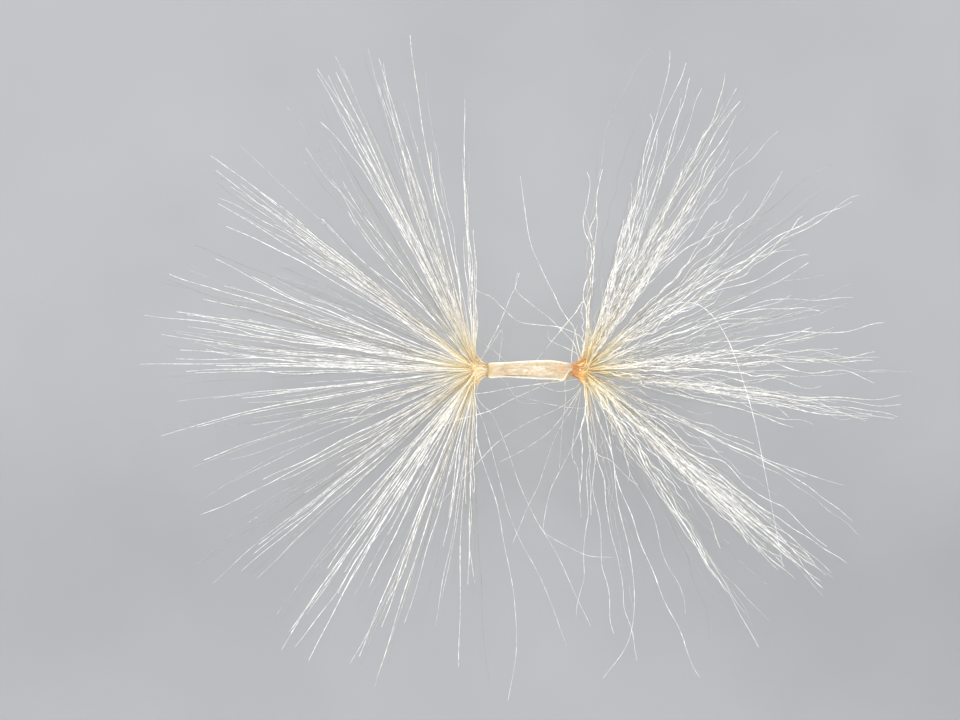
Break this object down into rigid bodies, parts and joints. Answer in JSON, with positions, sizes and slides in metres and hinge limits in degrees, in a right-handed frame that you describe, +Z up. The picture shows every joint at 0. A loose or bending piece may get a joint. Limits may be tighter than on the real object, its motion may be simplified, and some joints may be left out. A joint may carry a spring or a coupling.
{
  "type": "desert rose seed",
  "caption": "Slender spindle-shaped plant seed with a wide tuft of fine silky hairs at each end, resting on its lower hairs.",
  "frame": {"origin": "on the surface that the lower hairs rest on, under the middle of the whole", "axes": "+X along the seed, from its left tuft to its right tuft; +Z up"},
  "size_m": [0.084, 0.0726, 0.0533],
  "materials": {
    "seed_coat": "matt",
    "left_tuft": "silky",
    "right_tuft": "silky"
  },
  "bodies": {
    "root": {"seed_body": "seed_coat", "left_tuft": "left_tuft", "right_tuft": "right_tuft"}
  },
  "joints": []
}
